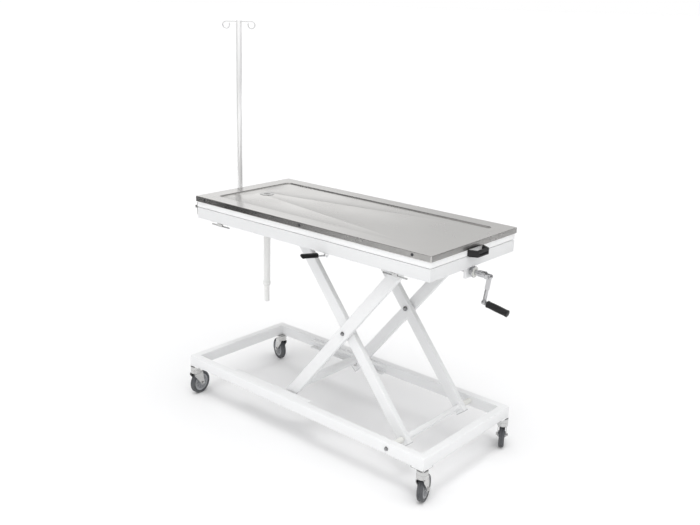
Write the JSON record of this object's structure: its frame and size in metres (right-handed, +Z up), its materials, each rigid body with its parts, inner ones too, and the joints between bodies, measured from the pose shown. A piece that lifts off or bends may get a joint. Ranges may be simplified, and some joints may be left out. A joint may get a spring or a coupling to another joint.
{
  "type": "veterinary surgery table",
  "caption": "Scissor-lift veterinary surgery table: tube base on casters, folding crank, tilting recessed steel top with drain pipe, IV pole, tie-down cleats and a handle",
  "frame": {"origin": "on the floor, at the middle of the outline of the whole table", "axes": "+Z up, +X along the table towards the crank and the bridge handle, +Y to the far long side"},
  "size_m": [1.5738, 0.7496, 1.753],
  "materials": {
    "powder_coat": "white powder coat, satin",
    "zinc": "bright zinc plate",
    "stainless": "brushed stainless steel",
    "bright_steel": "bright plated steel",
    "dark_bolts": "blackened steel",
    "black_plastic": "moulded black plastic",
    "cap_plastic": "dark grey plastic",
    "hub_plastic": "grey moulded wheel",
    "tyre_rubber": "dark grey rubber",
    "nylon": "white nylon",
    "drain_plastic": "white drain pipe",
    "strut_paint": "black gloss paint"
  },
  "bodies": {
    "base": {"base_side_rails": "powder_coat", "base_end_rails": "powder_coat", "base_guides": "powder_coat", "caster_plates": "zinc", "lower_pivots": "zinc"},
    "inner_frame": {"inner_arms": "powder_coat", "inner_foot_tube": "powder_coat", "inner_top_shaft": "bright_steel", "inner_arm_caps": "cap_plastic"},
    "outer_frame": {"outer_arms": "powder_coat", "outer_cross_tube": "powder_coat", "outer_arm_caps": "cap_plastic", "centre_pivots": "zinc", "base_roller_pins": "zinc"},
    "lower_rollers": {"base_rollers": "nylon"},
    "upper_rollers": {"top_rollers": "nylon"},
    "lift_frame": {"lift_side_rails": "powder_coat", "lift_end_rails": "powder_coat", "lift_guides": "powder_coat", "upper_pivots": "zinc", "lift_cross_members": "powder_coat", "drive_bearings": "powder_coat", "hinge_leaves_lift": "zinc", "pole_socket": "zinc", "tie_cleats": "zinc", "lever_bracket": "powder_coat"},
    "carriage": {"nut_carriage": "dark_bolts"},
    "spindle": {"lift_spindle": "bright_steel", "crank_clevis": "bright_steel"},
    "crank": {"crank_arm": "bright_steel"},
    "grip": {"crank_grip": "black_plastic"},
    "tilt_top": {"tilt_side_rails": "powder_coat", "tilt_end_rails": "powder_coat", "tilt_bearers": "powder_coat", "steel_top": "stainless", "top_screws": "stainless", "drain_strainer": "stainless", "drain_pipe": "drain_plastic", "bridge_handle": "black_plastic", "hinge_leaves_tilt": "zinc"},
    "strut_tube": {"strut_cylinder": "strut_paint"},
    "strut_shaft": {"strut_rod": "bright_steel"},
    "lever": {"release_lever": "bright_steel", "lever_grip": "black_plastic"},
    "bush": {"pole_bush": "black_plastic"},
    "pole": {"iv_pole": "stainless", "iv_hooks": "stainless"},
    "knob": {"clamp_knob": "black_plastic"},
    "fork_near_left": {"caster_fork_near_left": "zinc"},
    "wheel_near_left": {"caster_hub_near_left": "hub_plastic", "caster_tyre_near_left": "tyre_rubber"},
    "fork_far_left": {"caster_fork_far_left": "zinc"},
    "wheel_far_left": {"caster_hub_far_left": "hub_plastic", "caster_tyre_far_left": "tyre_rubber"},
    "fork_near_right": {"caster_fork_near_right": "zinc"},
    "wheel_near_right": {"caster_hub_near_right": "hub_plastic", "caster_tyre_near_right": "tyre_rubber"},
    "fork_far_right": {"caster_fork_far_right": "zinc"},
    "wheel_far_right": {"caster_hub_far_right": "hub_plastic", "caster_tyre_far_right": "tyre_rubber"}
  },
  "joints": [
    {"name": "swivel_near_left", "type": "hinge", "parent": "base", "child": "fork_near_left", "pos_m": [-0.70497, -0.28667, 0.125], "axis": [0, 0, 1], "continuous": true},
    {"name": "roll_near_left", "type": "hinge", "parent": "fork_near_left", "child": "wheel_near_left", "pos_m": [-0.708, -0.25783, 0.055], "axis": [-0.9945, -0.1045, 0], "continuous": true},
    {"name": "swivel_far_left", "type": "hinge", "parent": "base", "child": "fork_far_left", "pos_m": [-0.70497, 0.29733, 0.125], "axis": [0, 0, 1], "continuous": true},
    {"name": "roll_far_left", "type": "hinge", "parent": "fork_far_left", "child": "wheel_far_left", "pos_m": [-0.73239, 0.30677, 0.055], "axis": [-0.3256, -0.9455, 0], "continuous": true},
    {"name": "swivel_near_right", "type": "hinge", "parent": "base", "child": "fork_near_right", "pos_m": [0.64303, -0.28667, 0.125], "axis": [0, 0, 1], "continuous": true},
    {"name": "roll_near_right", "type": "hinge", "parent": "fork_near_right", "child": "wheel_near_right", "pos_m": [0.63455, -0.25894, 0.055], "axis": [-0.9563, -0.2924, 0], "continuous": true},
    {"name": "swivel_far_right", "type": "hinge", "parent": "base", "child": "fork_far_right", "pos_m": [0.64303, 0.29733, 0.125], "axis": [0, 0, 1], "continuous": true},
    {"name": "roll_far_right", "type": "hinge", "parent": "fork_far_right", "child": "wheel_far_right", "pos_m": [0.62897, 0.32269, 0.055], "axis": [-0.8746, -0.4848, 0], "continuous": true},
    {"name": "lift", "type": "hinge", "parent": "base", "child": "inner_frame", "pos_m": [0.47903, 0.00533, 0.178], "axis": [0, 1, 0], "range_deg": [-25, 6]},
    {"name": "scissor", "type": "hinge", "parent": "inner_frame", "child": "outer_frame", "pos_m": [0.17631, 0.00533, 0.5505], "axis": [0, 1, 0], "range_deg": [-12, 50]},
    {"name": "level", "type": "hinge", "parent": "outer_frame", "child": "lift_frame", "pos_m": [0.47903, 0.00533, 0.923], "axis": [0, 1, 0], "range_deg": [-25, 6]},
    {"name": "lower_roller_turn", "type": "hinge", "parent": "outer_frame", "child": "lower_rollers", "pos_m": [-0.12642, 0.00533, 0.178], "axis": [0, 1, 0], "continuous": true},
    {"name": "upper_roller_turn", "type": "hinge", "parent": "inner_frame", "child": "upper_rollers", "pos_m": [-0.12642, 0.00533, 0.923], "axis": [0, 1, 0], "continuous": true},
    {"name": "carriage_level", "type": "hinge", "parent": "inner_frame", "child": "carriage", "pos_m": [-0.12642, 0.00533, 0.923], "axis": [0, 1, 0], "range_deg": [-6, 25]},
    {"name": "crank_turn", "type": "hinge", "parent": "lift_frame", "child": "spindle", "pos_m": [0.62403, 0.00533, 0.866], "axis": [1, 0, 0], "continuous": true},
    {"name": "crank_fold", "type": "hinge", "parent": "spindle", "child": "crank", "pos_m": [0.69403, 0.00533, 0.862], "axis": [0, -1, 0], "range_deg": [0, 45]},
    {"name": "grip_turn", "type": "hinge", "parent": "crank", "child": "grip", "pos_m": [0.67914, 0.00533, 0.75605], "axis": [0.9848, 0, -0.1736], "continuous": true},
    {"name": "tilt", "type": "hinge", "parent": "lift_frame", "child": "tilt_top", "pos_m": [-0.67697, 0.00533, 0.939], "axis": [0, -1, 0], "range_deg": [0, 15]},
    {"name": "strut_swing", "type": "hinge", "parent": "lift_frame", "child": "strut_tube", "pos_m": [-0.61097, 0.11533, 0.843], "axis": [0, -1, 0], "range_deg": [0, 20]},
    {"name": "strut_stroke", "type": "slide", "parent": "strut_tube", "child": "strut_shaft", "axis": [0.7918, 0, 0.6108], "range_m": [0, 0.045]},
    {"name": "lever_press", "type": "hinge", "parent": "lift_frame", "child": "lever", "pos_m": [0.11803, -0.27867, 0.879], "axis": [0.8746, -0.4848, 0], "range_deg": [0, 15], "stiffness_Nm_per_rad": 2, "springref_deg": -11.46},
    {"name": "pole_turn", "type": "hinge", "parent": "lift_frame", "child": "bush", "pos_m": [-0.70297, 0.00533, 0.938], "axis": [0, 0, 1], "continuous": true},
    {"name": "pole_slide", "type": "slide", "parent": "bush", "child": "pole", "axis": [0, 0, 1], "range_m": [-0.2, 0]},
    {"name": "knob_turn", "type": "hinge", "parent": "lift_frame", "child": "knob", "pos_m": [-0.74597, 0.00533, 0.8905], "axis": [-1, 0, 0], "range_deg": [0, 360]}
  ],
  "couplings": [
    {"joint": "scissor", "follows": "lift", "ratio": -2},
    {"joint": "level", "follows": "lift", "ratio": 1},
    {"joint": "carriage_level", "follows": "lift", "ratio": -1},
    {"joint": "crank_turn", "follows": "lift", "ratio": 360},
    {"joint": "strut_swing", "follows": "tilt", "ratio": 0.9064},
    {"joint": "strut_stroke", "follows": "tilt", "m_per_rad": 0.11487}
  ]
}
